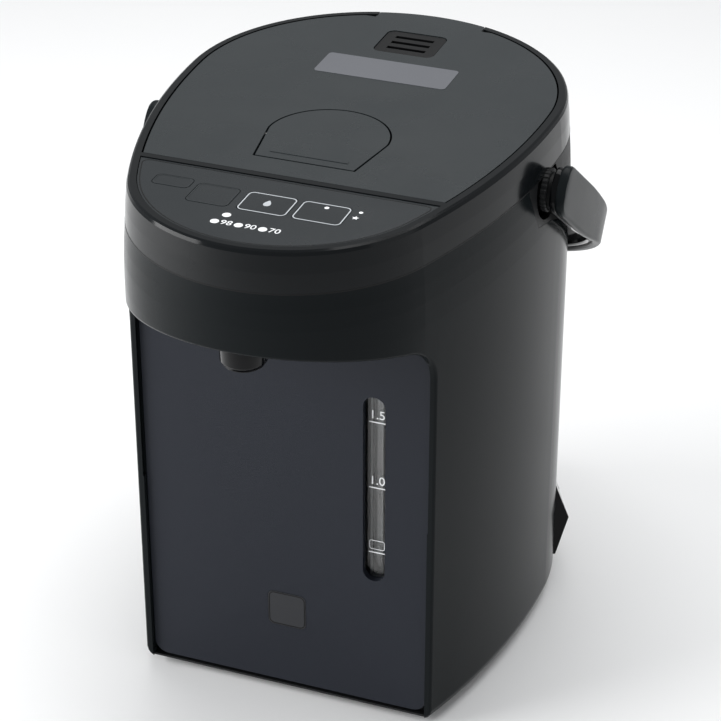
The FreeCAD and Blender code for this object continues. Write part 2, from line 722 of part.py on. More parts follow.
# Lid: skin, base, inner plug, gasket, hinge tail, vent
lid_inset = recess + lid_gap
lid_edge = lid_front + 0.6
skin_low = top - 0.2 - lid_skin
behind_front = block(-far, far, lid_edge, far, 0, far)


def lever_shape(shrink, low, high):
    front = front_y + lever_front + shrink
    half = lever_front_half - shrink
    radius = lever_radius - shrink
    centre = front_y + lever_pivot
    points = [V(-radius, centre, low), V(-half, front, low), V(half, front, low), V(radius, centre, low)]
    edges = [Part.makeLine(a, b) for a, b in zip(points, points[1:])]
    edges.append(Part.Arc(points[3], V(0, centre + radius, low), points[0]).toShape())
    return Part.Face(Part.Wire(edges)).extrude(V(0, 0, high - low))


vent_y = front_y + body_depth - vent_from_rear
vent_space = rounded(vent_width, vent_depth, 4.0, 0, far)
vent_space.translate(V(0, vent_y, 0))
ear_space = block(-ear_reach - 0.4, ear_reach + 0.4, hinge_y - 3.9, far, 0, far).cut(block(
    -hinge_half_width + 0.1, hinge_half_width - 0.1, -far, far, -1, far + 1))


# The lid's rear edge is relieved by the rim's inner edge turned about the hinge, so it swings past the rim
def swing_relief(side):
    rim_radius = body_width / 2 - recess
    points = []
    for share in (0.0, 0.1, 0.25, 0.45, 0.7, 1.0):
        x = hinge_half_width - 0.5 + share * relief_length
        rim_y = rear_y + math.sqrt(rim_radius ** 2 - x ** 2)
        reach = math.hypot(hinge_y - rim_y, hinge_drop) + relief_clearance
        points.append(V(side * x, hinge_y - reach, hinge_z))
    ends = [V(points[-1].x, hinge_y, hinge_z), V(points[0].x, hinge_y, hinge_z)]
    outline_wire = Part.makePolygon(points + ends + points[:1])
    return Part.Face(outline_wire).revolve(V(0, hinge_y, hinge_z), V(1, 0, 0), 360)


reliefs = swing_relief(1).fuse(swing_relief(-1))
tail_half = hinge_half_width - 0.5
tail = block(-tail_half, tail_half, hinge_y - 12, hinge_y + hinge_from_rear, 0, far)
tail_skin = layer(rim_inset, skin_low, top - 0.2).common(tail)
skin = layer(lid_inset, skin_low, top - 0.2).common(behind_front)
skin = joined(skin, tail_skin).cut(lever_shape(0, 0, far)).cut(vent_space).cut(ear_space).cut(reliefs)
save("lid_cover", skin)
base_skin = layer(lid_inset, lid_low, skin_low).common(behind_front)
base_inner = layer(lid_inset + 2.2, lid_low + 2.2, skin_low + 1).common(block(
    -far, far, lid_edge + 2.2, hinge_y - 14, 0, far))
knuckle = rod(hinge_drop - 1.0, (-tail_half, hinge_y, hinge_z), (tail_half, hinge_y, hinge_z))
knuckle = knuckle.common(layer(seam_inset + 1.2, 0, skin_low))
lid_base = base_skin.cut(block(-far, far, hinge_y - 9, far, 0, far))
lid_base = joined(lid_base, knuckle, block(
    -tail_half, tail_half, hinge_y - 14, hinge_y, lid_low, skin_low).common(
    layer(lid_inset, 0, far))).cut(base_inner)
lever_y = front_y + lever_pivot
lever_z = skin_low - 1.6
for x in (-lever_radius - 4, lever_radius + 1):
    lid_base = lid_base.fuse(block(x, x + 3, lever_y - 4, lever_y + 4, lid_low + 1, skin_low))
latch_y0 = lid_edge - 0.5
bolt_low = lid_low + 2.3
bolt_high = bolt_low + 3.0
latch_window = block(-7.3, 7.3, lid_edge - 1, lid_edge + 3, bolt_low - 0.2, bolt_high + 0.3)
duct_y = vent_y - 8.0
duct_radius = 6.0
steam_hole = rod(duct_radius + seat, (0, duct_y, 0), (0, duct_y, far))
lever_pin = rod(1.5, (-lever_radius - 3.5, lever_y, lever_z), (lever_radius + 3.5, lever_y, lever_z))
hinge_bore = rod(hinge_pin_radius + running, (-far, hinge_y, hinge_z), (far, hinge_y, hinge_z))
lid_base = lid_base.cut(ear_space).cut(reliefs).cut(hinge_bore)
lid_base = lid_base.cut(latch_window).cut(steam_hole).cut(lever_pin)
save("lid_base", lid_base.removeSplitter())
save("lever_pin", lever_pin)
plug_top = lid_low
plug_low = plug_top - plug_depth
plug = Part.makeCone(plug_radius - 2, plug_radius, plug_depth, V(0, rear_y, plug_low))
plug_inner = Part.makeCone(plug_radius - 3.2, plug_radius - 1.2, plug_depth, V(0, rear_y, plug_low + 1.2))
plug_flange = ring(mouth_radius + 0.8, plug_radius - 2, rear_y, plug_top - 1, plug_top)
save("inner_lid", joined(plug.cut(plug_inner), plug_flange).cut(steam_hole))
save("lid_gasket", ring(mouth_radius + 6, mouth_radius + 1, rear_y, deck_top, plug_top))
duct = rod(duct_radius, (0, duct_y, plug_low - 2), (0, duct_y, skin_low - 2))
duct_bore = rod(duct_radius - 1.4, (0, duct_y, 0), (0, duct_y, skin_low - 0.5))
save("steam_duct", duct.cut(duct_bore))
vent = rounded(vent_width - 0.8, vent_depth - 0.8, 3.6, skin_low - 2, top - 0.5)
vent.translate(V(0, vent_y, 0))
for step in (-1, 0, 1):
    cut_y = vent_y + 6.3 * step
    vent = vent.cut(block(-9.5, 9.5, cut_y - 1.3, cut_y + 1.3, skin_low - 1, far))
save("steam_vent", vent.cut(duct_bore))
label_y = vent_y - vent_depth / 2 - label_gap - label_depth / 2
label = rounded(label_width, label_depth, 2.0, top - 0.2, top - 0.05)
label.translate(V(0, label_y, 0))
save("label_film", label)

# Lid lever, latch bolt and its spring
lever = lever_shape(lever_gap, top - 0.2 - lever_thickness, top - 0.2)
web = block(-lever_radius + 3, lever_radius - 3, lever_y - 3, lever_y + 3, lever_z - 2.6, top - 1)
rib_half = 0.76 * lever_front_half
rib = block(-rib_half, rib_half, front_y + lever_front + 6, front_y + lever_front + 8, top - 0.3, top)
lever = joined(lever, web, rib)
save("lid_lever", lever.cut(rod(1.5 + running, (-far, lever_y, lever_z), (far, lever_y, lever_z))))
bolt_back = latch_y0 + 14.0
bolt = block(-7, 7, latch_y0, bolt_back, bolt_low, bolt_high)
save("latch_bolt", bolt)
spring_end = bolt_back + 5.5
save("latch_spring", rod(1.3, (0, bolt_back, bolt_low + 1.5), (0, spring_end, bolt_low + 1.5)))
save("spring_stop", block(-6, 6, spring_end, spring_end + 2, lid_low + 2.2, bolt_high + 0.5))
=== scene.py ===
import bmesh
import bpy
import math
import numpy as np
from mathutils import Matrix, Vector


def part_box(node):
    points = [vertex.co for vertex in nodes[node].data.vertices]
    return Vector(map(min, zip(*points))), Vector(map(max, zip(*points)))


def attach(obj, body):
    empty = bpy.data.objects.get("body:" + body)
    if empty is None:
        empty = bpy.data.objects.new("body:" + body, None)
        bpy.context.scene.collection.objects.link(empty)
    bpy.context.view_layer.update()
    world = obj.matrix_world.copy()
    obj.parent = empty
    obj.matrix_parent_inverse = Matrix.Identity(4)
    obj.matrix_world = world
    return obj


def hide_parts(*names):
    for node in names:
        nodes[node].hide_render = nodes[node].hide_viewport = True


# Electric thermo pot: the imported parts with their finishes, and the pieces modelled over them
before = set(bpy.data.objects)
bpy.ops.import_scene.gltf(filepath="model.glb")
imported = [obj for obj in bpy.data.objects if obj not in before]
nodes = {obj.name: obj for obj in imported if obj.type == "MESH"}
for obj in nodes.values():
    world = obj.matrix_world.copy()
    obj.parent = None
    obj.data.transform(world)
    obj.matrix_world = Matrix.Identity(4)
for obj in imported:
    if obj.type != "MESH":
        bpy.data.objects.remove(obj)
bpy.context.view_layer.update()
scene = bpy.context.scene
scene.view_settings.view_transform = "Standard"
print("frame loaded", len(nodes), "nodes")

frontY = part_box("outer_shell")[0].y

camera = dict(focalPixels=2486.33, imagePixels=721, sensor=36.0, elevation=30.447, azimuth=20.481,
              place=(0.35884, -0.80623, 0.73124))


def makeCamera(s):
    # The place is right of the centre, back from the nose's front and up, in metres
    az, el = math.radians(s["azimuth"]), math.radians(s["elevation"])
    right = Vector((math.cos(az), math.sin(az), 0))
    look = Vector((-math.sin(az) * math.cos(el), math.cos(az) * math.cos(el), -math.sin(el)))
    data = bpy.data.cameras.new("photoCamera")
    data.sensor_width = s["sensor"]
    data.lens = s["focalPixels"] * s["sensor"] / s["imagePixels"]
    data.clip_end = 20
    ob = bpy.data.objects.new("photoCamera", data)
    scene.collection.objects.link(ob)
    turn = Matrix((right, right.cross(look), -look)).transposed().to_4x4()
    x, y, z = s["place"]
    ob.matrix_world = Matrix.Translation(Vector((x, frontY + y, z))) @ turn
    scene.camera = ob


makeCamera(camera)

studio = dict(world=(0.93, 0.95, 0.97), worldStrength=0.42, floorColor=(0.95, 0.95, 0.95), floorRough=0.7,
              floorSize=3.0)
lamps = [
    dict(name="leftSoftbox", place=(-0.95, -0.6, 0.5), aim=(-0.25, -0.2, 0), size=(0.8, 0.7), power=13),
    dict(name="topSoftbox", place=(0.1, 0.35, 1.3), aim=(0, 0, 0.1), size=(1.2, 1.0), power=12),
    dict(name="rightFill", place=(1.2, -0.1, 0.7), aim=(0, 0, 0.1), size=(0.8, 1.0), power=1.2),
]


def makeStudio(s):
    world = bpy.data.worlds.new("studioWorld")
    scene.world = world
    world.use_nodes = True
    background = world.node_tree.nodes["Background"]
    background.inputs["Color"].default_value = (*s["world"], 1)
    background.inputs["Strength"].default_value = s["worldStrength"]
    for lamp in lamps:
        data = bpy.data.lights.new(lamp["name"], "AREA")
        data.shape = "RECTANGLE"
        data.size, data.size_y = lamp["size"]
        data.energy = lamp["power"]
        ob = bpy.data.objects.new(lamp["name"], data)
        scene.collection.objects.link(ob)
        ob.location = lamp["place"]
        look = Vector(lamp["aim"]) - Vector(lamp["place"])
        ob.rotation_euler = look.to_track_quat("-Z", "Y").to_euler()
    half = s["floorSize"] / 2
    mesh = bpy.data.meshes.new("paleFloor")
    corners = [(-half, -half, 0), (half, -half, 0), (half, half, 0), (-half, half, 0)]
    mesh.from_pydata(corners, [], [(0, 1, 2, 3)])
    floor = bpy.data.objects.new("paleFloor", mesh)
    scene.collection.objects.link(floor)
    mat = bpy.data.materials.new("paleFloor")
    mat.use_nodes = True
    shader = mat.node_tree.nodes["Principled BSDF"]
    shader.inputs["Base Color"].default_value = (*s["floorColor"], 1)
    shader.inputs["Roughness"].default_value = s["floorRough"]
    mesh.materials.append(mat)


makeStudio(studio)
print("camera and studio ready")


# Finishes: two shared effects, then one material for each finish

def newSocket(group, name, kind, value=None, output=False):
    socket = group.interface.new_socket(name=name, in_out="OUTPUT" if output else "INPUT", socket_type=kind)
    if value is not None:
        socket.default_value = value


def mouldGrain():
    # Fine moulded grain: small noise plus finer cells, given out as a height and a patchy mask
    group = bpy.data.node_groups.new("mouldGrain", "ShaderNodeTree")
    newSocket(group, "Scale", "NodeSocketFloat", 900.0)
    newSocket(group, "Cells", "NodeSocketFloat", 0.4)
    newSocket(group, "Height", "NodeSocketFloat", output=True)
    newSocket(group, "Patches", "NodeSocketFloat", output=True)
    tree, link = group.nodes, group.links.new
    inputs, outputs = tree.new("NodeGroupInput"), tree.new("NodeGroupOutput")
    place = tree.new("ShaderNodeTexCoord")
    noise = tree.new("ShaderNodeTexNoise")
    noise.inputs["Detail"].default_value = 4
    noise.inputs["Roughness"].default_value = 0.6
    cells = tree.new("ShaderNodeTexVoronoi")
    finer = tree.new("ShaderNodeMath")
    finer.operation = "MULTIPLY"
    finer.inputs[1].default_value = 1.7
    blend = tree.new("ShaderNodeMath")
    blend.operation = "MULTIPLY_ADD"
    slow = tree.new("ShaderNodeTexNoise")
    slow.inputs["Scale"].default_value = 22
    slow.inputs["Detail"].default_value = 5
    for node in (noise, cells, slow):
        link(place.outputs["Object"], node.inputs["Vector"])
    link(inputs.outputs["Scale"], noise.inputs["Scale"])
    link(inputs.outputs["Scale"], finer.inputs[0])
    link(finer.outputs[0], cells.inputs["Scale"])
    link(cells.outputs["Distance"], blend.inputs[0])
    link(inputs.outputs["Cells"], blend.inputs[1])
    link(noise.outputs["Fac"], blend.inputs[2])
    link(blend.outputs[0], outputs.inputs["Height"])
    link(slow.outputs["Fac"], outputs.inputs["Patches"])
    return group


def handledWear():
    # Settled dust where the surface faces up, broken by noise, and rubbed edges where it is sharp
    group = bpy.data.node_groups.new("handledWear", "ShaderNodeTree")
    newSocket(group, "Dust", "NodeSocketFloat", 0.1)
    newSocket(group, "Dust Mask", "NodeSocketFloat", output=True)
    newSocket(group, "Rub Mask", "NodeSocketFloat", output=True)
    tree, link = group.nodes, group.links.new
    inputs, outputs = tree.new("NodeGroupInput"), tree.new("NodeGroupOutput")
    place = tree.new("ShaderNodeTexCoord")
    geometry = tree.new("ShaderNodeNewGeometry")
    parts = tree.new("ShaderNodeSeparateXYZ")
    noise = tree.new("ShaderNodeTexNoise")
    noise.inputs["Scale"].default_value = 60
    noise.inputs["Detail"].default_value = 6
    upward = tree.new("ShaderNodeMapRange")
    upward.inputs["From Min"].default_value = 0.6
    upward.inputs["From Max"].default_value = 1.0
    dust = tree.new("ShaderNodeMath")
    dust.operation = "MULTIPLY"
    amount = tree.new("ShaderNodeMath")
    amount.operation = "MULTIPLY"
    edges = tree.new("ShaderNodeMapRange")
    edges.inputs["From Min"].default_value = 0.52
    edges.inputs["From Max"].default_value = 0.62
    link(place.outputs["Object"], noise.inputs["Vector"])
    link(geometry.outputs["Normal"], parts.inputs[0])
    link(parts.outputs["Z"], upward.inputs["Value"])
    link(upward.outputs[0], dust.inputs[0])
    link(noise.outputs["Fac"], dust.inputs[1])
    link(dust.outputs[0], amount.inputs[0])
    link(inputs.outputs["Dust"], amount.inputs[1])
    link(geometry.outputs["Pointiness"], edges.inputs["Value"])
    link(amount.outputs[0], outputs.inputs["Dust Mask"])
    link(edges.outputs[0], outputs.inputs["Rub Mask"])
    return group


grainGroup = mouldGrain()
wearGroup = handledWear()


def colorMix(tree, low=None, high=None):
    # A mix of two colours, each of them set here or linked later
    mix = tree.new("ShaderNodeMix")
    mix.data_type = "RGBA"
    for key, color in (("A", low), ("B", high)):
        if color is not None:
            mix.inputs[key].default_value = (*color, 1)
    return mix


dustColor = (0.45, 0.44, 0.42)


def makeFinish(name, s):
    # One finish: two tones mixed by slow patches, rubbed edges, dust on top faces and a grain bump
    mat = bpy.data.materials.new(name)
    mat.use_nodes = True
    tree, link = mat.node_tree.nodes, mat.node_tree.links.new
    shader = tree["Principled BSDF"]
    grain = tree.new("ShaderNodeGroup")
    grain.node_tree = grainGroup
    grain.inputs["Scale"].default_value = s.get("grain", 900)
    grain.inputs["Cells"].default_value = s.get("cells", 0.4)
    wear = tree.new("ShaderNodeGroup")
    wear.node_tree = wearGroup
    wear.inputs["Dust"].default_value = s.get("dust", 0.06)
    tones = colorMix(tree, s["color"], s.get("tone", [c * 1.25 for c in s["color"]]))
    rubbed = colorMix(tree, high=[min(c * 1.8 + 0.01, 1) for c in s["color"]])
    rubAmount = tree.new("ShaderNodeMath")
    rubAmount.operation = "MULTIPLY"
    rubAmount.inputs[1].default_value = s.get("rub", 0.35)
    dusty = colorMix(tree, high=dustColor)
    rough = tree.new("ShaderNodeMapRange")
    rough.inputs["From Min"].default_value = 0.3
    rough.inputs["From Max"].default_value = 0.7
    rough.inputs["To Min"].default_value, rough.inputs["To Max"].default_value = s["rough"]
    bump = tree.new("ShaderNodeBump")
    bump.inputs["Strength"].default_value = s.get("bump", 0.15)
    bump.inputs["Distance"].default_value = s.get("depth", 0.0002)
    link(grain.outputs["Patches"], tones.inputs["Factor"])
    link(wear.outputs["Rub Mask"], rubAmount.inputs[0])
    link(tones.outputs["Result"], rubbed.inputs["A"])
    link(rubAmount.outputs[0], rubbed.inputs["Factor"])
    link(rubbed.outputs["Result"], dusty.inputs["A"])
    link(wear.outputs["Dust Mask"], dusty.inputs["Factor"])
    link(dusty.outputs["Result"], shader.inputs["Base Color"])
    link(grain.outputs["Patches"], rough.inputs["Value"])
    link(rough.outputs[0], shader.inputs["Roughness"])
    link(grain.outputs["Height"], bump.inputs["Height"])
    link(bump.outputs[0], shader.inputs["Normal"])
    shader.inputs["Metallic"].default_value = s.get("metallic", 0)
    shader.inputs["Specular IOR Level"].default_value = s.get("gloss", 0.5)
    shader.inputs["Transmission Weight"].default_value = s.get("clear", 0)
    shader.inputs["IOR"].default_value = s.get("ior", 1.5)
    return mat


def makeBrushed(name, s):
    # Brushed metal: noise stretched along one axis drives tone, roughness and bump
    mat = bpy.data.materials.new(name)
    mat.use_nodes = True
    tree, link = mat.node_tree.nodes, mat.node_tree.links.new
    shader = tree["Principled BSDF"]
    place = tree.new("ShaderNodeTexCoord")
    stretch = tree.new("ShaderNodeMapping")
    stretch.inputs["Scale"].default_value = s["stretch"]
    lines = tree.new("ShaderNodeTexNoise")
    lines.inputs["Scale"].default_value = 1300
    lines.inputs["Detail"].default_value = 6
    tones = colorMix(tree, s["color"], s["tone"])
    rough = tree.new("ShaderNodeMapRange")
    rough.inputs["To Min"].default_value, rough.inputs["To Max"].default_value = s["rough"]
    bump = tree.new("ShaderNodeBump")
    bump.inputs["Strength"].default_value = 0.08
    bump.inputs["Distance"].default_value = 0.0001
    link(place.outputs["Object"], stretch.inputs["Vector"])
    link(stretch.outputs[0], lines.inputs["Vector"])
    link(lines.outputs["Fac"], tones.inputs["Factor"])
    link(tones.outputs["Result"], shader.inputs["Base Color"])
    link(lines.outputs["Fac"], rough.inputs["Value"])
    link(rough.outputs[0], shader.inputs["Roughness"])
    link(lines.outputs["Fac"], bump.inputs["Height"])
    link(bump.outputs[0], shader.inputs["Normal"])
    shader.inputs["Metallic"].default_value = 1
    return mat


finishes = {
    "shellPaint": dict(color=(0.0062, 0.0080, 0.0090), tone=(0.0074, 0.0094, 0.0104), rough=(0.17, 0.21),
                       grain=2600, cells=0.8, bump=0.03, ior=1.17, dust=0.01, rub=0.1),
    "headGloss": dict(color=(0.0050, 0.0062, 0.0072), tone=(0.0060, 0.0072, 0.0082), rough=(0.12, 0.16),
                      grain=2400, bump=0.02, ior=1.27, dust=0.01, rub=0.1),
    "panelPaint": dict(color=(0.0085, 0.0110, 0.0180), tone=(0.0105, 0.0132, 0.0208), rough=(0.44, 0.5),
                       grain=2100, cells=1.0, bump=0.34, ior=1.33, dust=0.01, rub=0.12),
    "glossBlack": dict(color=(0.0014, 0.0016, 0.0022), rough=(0.06, 0.1), grain=500, bump=0.012, ior=1.25,
                       dust=0.01, rub=0.1),
    "lidPlastic": dict(color=(0.0140, 0.0182, 0.0205), tone=(0.0160, 0.0206, 0.0228), rough=(0.24, 0.3),
                       grain=1900, cells=0.7, bump=0.07, gloss=0.42, dust=0.015, rub=0.12),
    "filmFace": dict(color=(0.0105, 0.0138, 0.0160), tone=(0.0120, 0.0154, 0.0178), rough=(0.24, 0.29),
                     grain=1500, bump=0.05, gloss=0.4, dust=0.01, rub=0.1),
    "handlePlastic": dict(color=(0.0115, 0.0140, 0.0155), tone=(0.0130, 0.0158, 0.0172), rough=(0.26, 0.33),
                          grain=2200, cells=0.8, bump=0.07, ior=1.16, dust=0.01, rub=0.2),
    "mattBlack": dict(color=(0.0040, 0.0045, 0.0052), rough=(0.4, 0.52), grain=1400, cells=0.9, bump=0.2,
                      gloss=0.3, dust=0.01, rub=0.15),
    "badgeFace": dict(color=(0.016, 0.017, 0.020), rough=(0.4, 0.48), grain=1600, cells=0.9, bump=0.12,
                      gloss=0.35, dust=0.0, rub=0.15),
    # deepBlack is also the colour of the painted shade in the seam and in the film's groove
    "deepBlack": dict(color=(0.0018, 0.002, 0.0024), rough=(0.4, 0.55), grain=1200, bump=0.15, gloss=0.2,
                      dust=0.01, rub=0.1),
    "gaugeGrey": dict(color=(0.085, 0.092, 0.102), tone=(0.10, 0.108, 0.118), rough=(0.4, 0.5), grain=800,
                      bump=0.06),
    "paleNylon": dict(color=(0.62, 0.61, 0.58), rough=(0.38, 0.5), grain=700, bump=0.12),
    "lensWhite": dict(color=(0.88, 0.90, 0.91), tone=(0.93, 0.94, 0.95), rough=(0.25, 0.35), grain=500,
                      bump=0.04, dust=0.0),
    "printWhite": dict(color=(0.86, 0.88, 0.90), rough=(0.45, 0.55), grain=900, bump=0.05, dust=0.0),
    "printGrey": dict(color=(0.40, 0.42, 0.44), rough=(0.4, 0.5), grain=900, bump=0.05, dust=0.0),
    "trimGrey": dict(color=(0.12, 0.13, 0.14), rough=(0.3, 0.4), grain=900, bump=0.08),
    "clearWindow": dict(color=(0.90, 0.92, 0.93), rough=(0.02, 0.06), grain=300, bump=0.01, clear=1,
                        ior=1.49, dust=0.0, rub=0.0),
    "silicone": dict(color=(0.60, 0.60, 0.57), rough=(0.45, 0.6), grain=500, bump=0.08),
    "blackRubber": dict(color=(0.010, 0.010, 0.011), rough=(0.6, 0.75), grain=900, cells=1.0, bump=0.35),
    "circuitBoard": dict(color=(0.012, 0.085, 0.040), tone=(0.018, 0.13, 0.06), rough=(0.3, 0.45), grain=260,
                         cells=1.4, bump=0.3),
    "feltJacket": dict(color=(0.40, 0.39, 0.36), tone=(0.50, 0.49, 0.45), rough=(0.85, 0.95), grain=420,
                       cells=1.2, bump=0.9, depth=0.0008),
    "labelFilm": dict(color=(0.115, 0.119, 0.132), tone=(0.130, 0.134, 0.148), rough=(0.2, 0.28), grain=650,
                      bump=0.06, gloss=0.4, dust=0.0, rub=0.1),
    "brass": dict(color=(0.55, 0.38, 0.13), tone=(0.62, 0.45, 0.18), rough=(0.22, 0.35), grain=600, bump=0.08,
                  metallic=1),
}
brushedFinishes = {
    "brushedSteel": dict(color=(0.52, 0.52, 0.51), tone=(0.58, 0.58, 0.57), rough=(0.22, 0.30),
                         stretch=(1, 1, 14)),
    "turnedAluminium": dict(color=(0.62, 0.62, 0.62), tone=(0.70, 0.70, 0.71), rough=(0.28, 0.42),
                            stretch=(3, 3, 9)),
    "motorCan": dict(color=(0.55, 0.55, 0.54), tone=(0.66, 0.66, 0.65), rough=(0.14, 0.22),
                     stretch=(1, 1, 20)),
}
made = {name: makeFinish(name, s) for name, s in finishes.items()}
made.update({name: makeBrushed(name, s) for name, s in brushedFinishes.items()})

nodeFinishes = {
    "shellPaint": ["outer_shell"],
    "panelPaint": ["front_panel"],
    "glossBlack": ["plug_socket"],
    "badgeFace": ["badge_plate"],
    "mattBlack": ["nose_underside", "spill_valve", "pump_bracket", "base_plate", "rear_cover", "key_switches",
                  "steam_duct", "spring_stop", "latch_bolt", "lid_base"],
    "deepBlack": ["steam_vent", "handle_bracket_left", "handle_bracket_right"],
    "headGloss": ["top_frame"],
    "lidPlastic": ["lid_cover", "lid_lever"],
    "filmFace": ["control_panel", "key_dispense", "key_unlock", "key_keep_warm", "key_reboil"],
    "gaugeGrey": ["gauge_carrier"],
    "clearWindow": ["gauge_window", "gauge_tube"],
    "paleNylon": ["pump_housing", "pump_impeller", "board_holder"],
    "lensWhite": ["indicator_lenses"],
    "silicone": ["upper_hose", "delivery_hose", "suction_hose", "mouth_seal", "lid_gasket"],
    "blackRubber": ["feet"],
    "circuitBoard": ["power_board", "control_board"],
    "feltJacket": ["heat_jacket"],
    "labelFilm": ["label_film"],
    "brass": ["thermistor", "thermostat", "socket_pins"],
    "brushedSteel": ["inner_vessel", "inner_lid", "spill_ball", "base_screws", "handle_pins", "hinge_pin",
                     "lever_pin", "latch_spring", "motor_rotor"],
    "turnedAluminium": ["heat_shield", "heater_plate"],
    "motorCan": ["pump_motor"],
}
for finish, names in nodeFinishes.items():
    for name in names:
        mesh = nodes[name].data
        mesh.materials.clear()
        mesh.materials.append(made[finish])
    print("finish", finish, len(names), "nodes")


# Shapes as arrays: points on a grid, joined into quads, with the rows or columns closed where asked

def gridFaces(rows, cols, closeRows=False, closeCols=False):
    # Quad (i, j): the four neighbours of a grid cell, wrapped round on the closed sides
    i = np.arange(rows if closeRows else rows - 1)[:, None]
    j = np.arange(cols if closeCols else cols - 1)[None, :]
    a, b = i * cols + j, i * cols + (j + 1) % cols
    c, d = (i + 1) % rows * cols + (j + 1) % cols, (i + 1) % rows * cols + j
    return np.stack([a, b, c, d], -1).reshape(-1, 4)


def pot(x, back, z):
    # Millimetres from the centre, back from the nose's front and up from the table, as metres in the frame
    x, back, z = np.broadcast_arrays(x, back, z)
    return np.stack([x / 1000, frontY + back / 1000, z / 1000], -1)


def makePiece(name, points, faces, finish, body, sharp=35):
    mesh = bpy.data.meshes.new(name)
    mesh.from_pydata(points.reshape(-1, 3).tolist(), [], [list(map(int, f)) for f in faces])
    shape = bmesh.new()
    shape.from_mesh(mesh)
    bmesh.ops.remove_doubles(shape, verts=shape.verts, dist=1e-6)
    bmesh.ops.dissolve_degenerate(shape, edges=shape.edges, dist=1e-7)
    bmesh.ops.recalc_face_normals(shape, faces=shape.faces)
    shape.to_mesh(mesh)
    shape.free()
    mesh.shade_smooth()
    mesh.set_sharp_from_angle(angle=math.radians(sharp))
    mesh.materials.append(made[finish])
    ob = bpy.data.objects.new(name, mesh)
    scene.collection.objects.link(ob)
    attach(ob, body)
    return ob


def roundedBar(halfA, halfB, radius, steps=6):
    # Rounded rectangle: each corner's centre plus its radius times cosine and sine; halfB may be an array
    halfB = np.atleast_1d(halfB)[:, None]
    corner = np.minimum(radius, halfB * 0.98)
    angle = np.linspace(0, np.pi / 2, steps)
    turns = np.concatenate([angle + k * np.pi / 2 for k in range(4)])
    signA = np.repeat([1, -1, -1, 1], steps)
    signB = np.repeat([1, 1, -1, -1], steps)
    a = signA * (halfA - corner) + corner * np.cos(turns)
    b = signB * (halfB - corner) + corner * np.sin(turns)
    return a, b


# Handle: a flat band bent in a half circle with squared ears on the two pivots, and a black liner inside it
handle = dict(back=150.0, height=237.5, arm=65.0, inner=97.3, thickness=4.2, half=8.5, ear=11.5, fold=36.0,
              corner=1.5, blendStart=38.0, blendRun=62.0, squareness=3.2, least=0.02,
              armSteps=40, pathSteps=150)
liner = dict(handle, inner=94.4, thickness=3.0, half=7.2, ear=10.3, corner=0.9)


def bowPath(s, middle):
    # Down one arm, round the half circle and back up the other: place and outward direction along the bow
    start, steps = -s["ear"], s["armSteps"]
    arm = start + (s["arm"] - start) * (1 - np.cos(np.linspace(0, np.pi / 2, steps)))
    angle = np.linspace(0, np.pi, s["pathSteps"])[1:-1]
    outX = np.concatenate([np.ones(steps), np.cos(angle), -np.ones(steps)])
    outY = np.concatenate([np.zeros(steps), np.sin(angle), np.zeros(steps)])
    y = np.concatenate([arm, s["arm"] + middle * np.sin(angle), arm[::-1]])
    return middle * outX, y, outX, outY


def earWidth(s, y):
    # Half the band's width: a squared circle at the ear, running smoothly into the band
    power = s["squareness"]
    square = s["ear"] * np.clip(1 - (np.abs(y) / s["ear"]) ** power, 0, None) ** (1 / power)
    share = np.clip((y - s["blendStart"]) / s["blendRun"], 0, 1)
    run = s["ear"] + (s["half"] - s["ear"]) * share * share * (3 - 2 * share)
    return np.where(y < 0, square, run)


def folded(s, x, y, z):
    # The bow is turned down about its pivots by the fold
    turn = math.radians(s["fold"])
    return pot(x, s["back"] + y * math.cos(turn) + z * math.sin(turn),
               s["height"] - y * math.sin(turn) + z * math.cos(turn))


def makeBow(name, s, finish):
    x, y, outX, outY = bowPath(s, s["inner"] + s["thickness"] / 2)
    run = np.where(y > s["arm"], s["arm"] + s["inner"] * np.arctan2(y - s["arm"], np.abs(x)), y)
    width = np.maximum(earWidth(s, run), s["least"])
    across, along = roundedBar(s["thickness"] / 2, width, s["corner"])
    points = folded(s, x[:, None] + outX[:, None] * across, y[:, None] + outY[:, None] * across, along)
    rows, cols = along.shape
    faces = [list(f) for f in gridFaces(rows, cols, closeCols=True)]
    faces += [list(range(cols)), list(range((rows - 1) * cols, rows * cols))]
    return makePiece(name, points, faces, finish, "handle")


bow = makeBow("handleBow", handle, "handlePlastic")
makeBow("handleLiner", liner, "glossBlack")
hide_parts("handle")
print("handle bow made")


# Turned pieces: pairs of radius and height swung round an upright axis
nozzle = dict(back=15.5, sides=96, lipCentre=(8.4, 204.5), lipRadius=0.5,
              outside=[(3.2, 208.2), (3.2, 222.0), (12.0, 222.0), (12.0, 219.3), (10.4, 219.3), (10.4, 206.9),
                       (10.1, 206.2), (9.1, 205.1)],
              mouth=[(7.0, 204.1), (6.6, 204.9), (5.0, 205.1), (4.6, 204.3), (3.6, 204.2)])


def swungPoints(radius, height, sides):
    # Point (i, j): profile point i turned to angle j
    angle = np.linspace(0, 2 * np.pi, sides, endpoint=False)
    return radius[:, None] * np.cos(angle), radius[:, None] * np.sin(angle), height[:, None] + 0 * angle


def makeNozzle(s):
    # Up the bore, down the outside, round the lip and back in across the mouth
    turn = np.linspace(np.pi / 2, -np.pi / 2, 7)[1:-1]
    lip = np.array(s["lipCentre"]) + s["lipRadius"] * np.stack([np.cos(turn), np.sin(turn)], -1)
    radius, height = np.concatenate([s["outside"], lip, s["mouth"]]).T
    x, y, z = swungPoints(radius, height, s["sides"])
    points = pot(x, s["back"] + y, z)
    faces = gridFaces(len(radius), s["sides"], closeRows=True, closeCols=True)
    piece = makePiece("spoutNozzleTurned", points, faces, "glossBlack", "root")
    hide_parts("spout_nozzle")


makeNozzle(nozzle)

